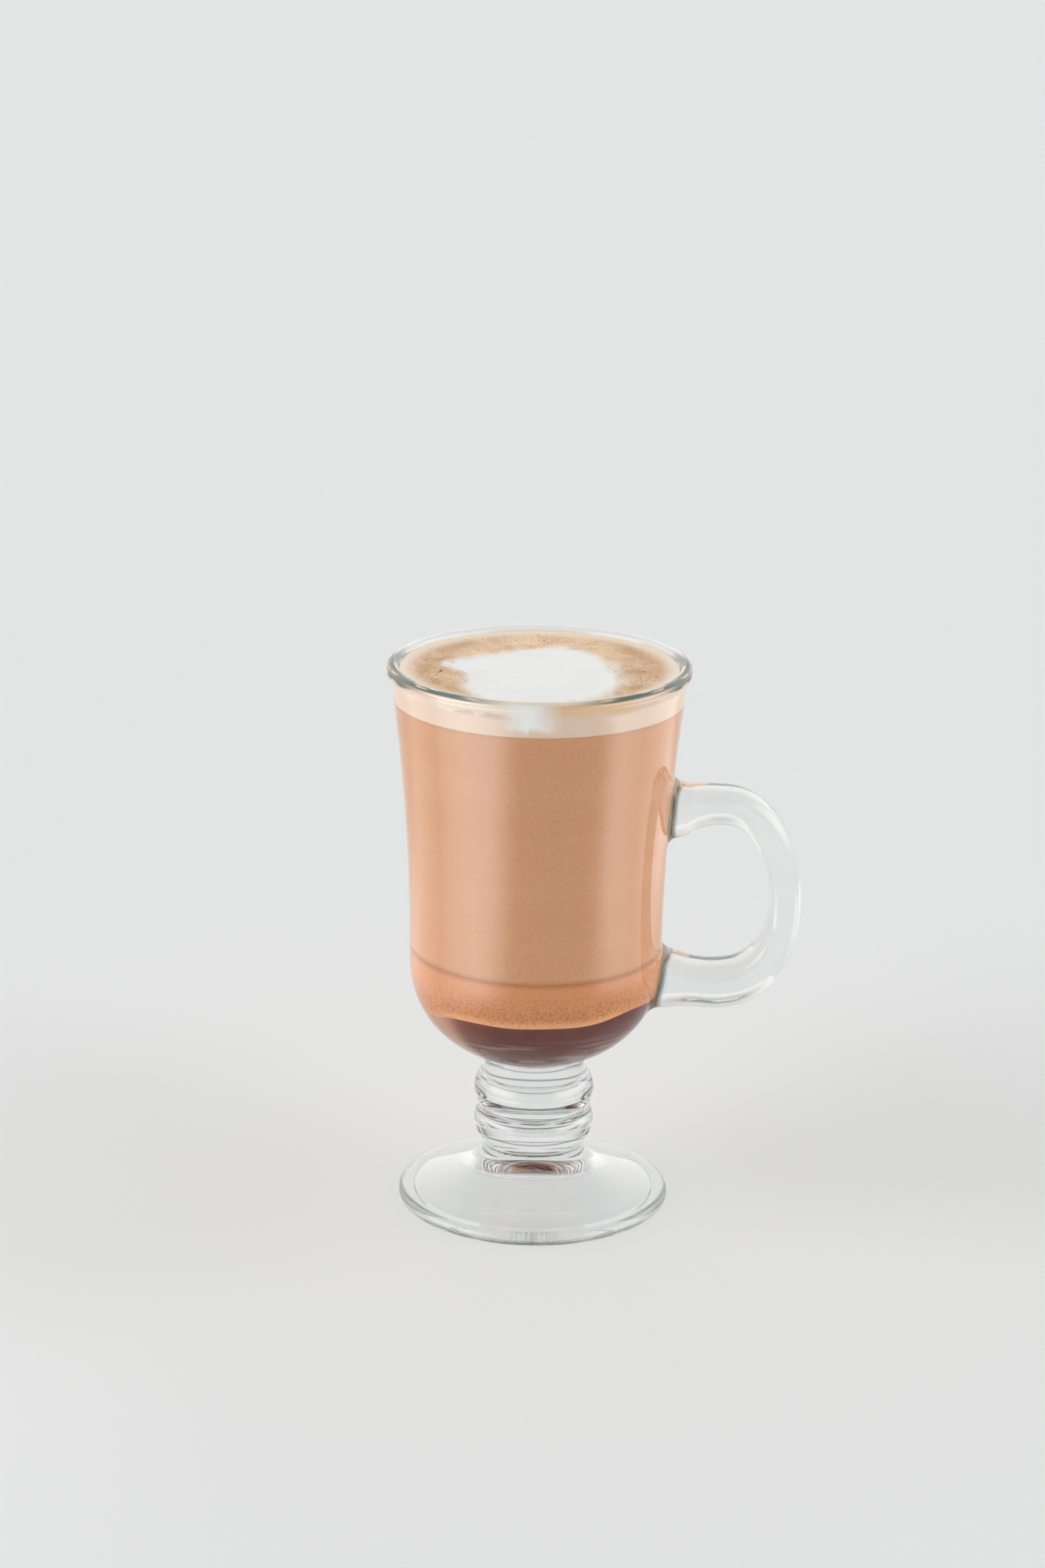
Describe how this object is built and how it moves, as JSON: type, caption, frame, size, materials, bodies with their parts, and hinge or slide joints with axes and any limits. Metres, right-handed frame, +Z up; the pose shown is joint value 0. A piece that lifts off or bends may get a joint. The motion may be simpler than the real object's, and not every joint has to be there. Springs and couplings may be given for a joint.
{
  "type": "caffe mocha in a footed glass mug",
  "caption": "Caffe mocha in a clear footed glass mug with a handle: chocolate syrup, layered mocha, cream foam and white milk foam on top.",
  "frame": {"origin": "centre of the foot's underside, on the axis of the turned mug", "axes": "+Z up along the mug's axis, +X towards the handle, +Y to the left of someone who looks along +X"},
  "size_m": [0.1046, 0.076, 0.1423],
  "materials": {
    "clear_glass": "fire-polished pressed soda-lime glass, clear and smooth",
    "chocolate": "thick dark chocolate syrup",
    "dense_mocha": "milky coffee with fine chocolate grains settling through it",
    "mocha": "milky coffee, even and opaque",
    "coffee_foam": "fine-bubbled cream foam with a brown crema top",
    "white_foam": "smooth white steamed-milk foam"
  },
  "bodies": {
    "root": {"glass_mug": "clear_glass", "chocolate_syrup": "chocolate", "mocha_base": "dense_mocha", "mocha": "mocha", "foam": "coffee_foam", "milk_foam_patch": "white_foam"}
  },
  "joints": []
}
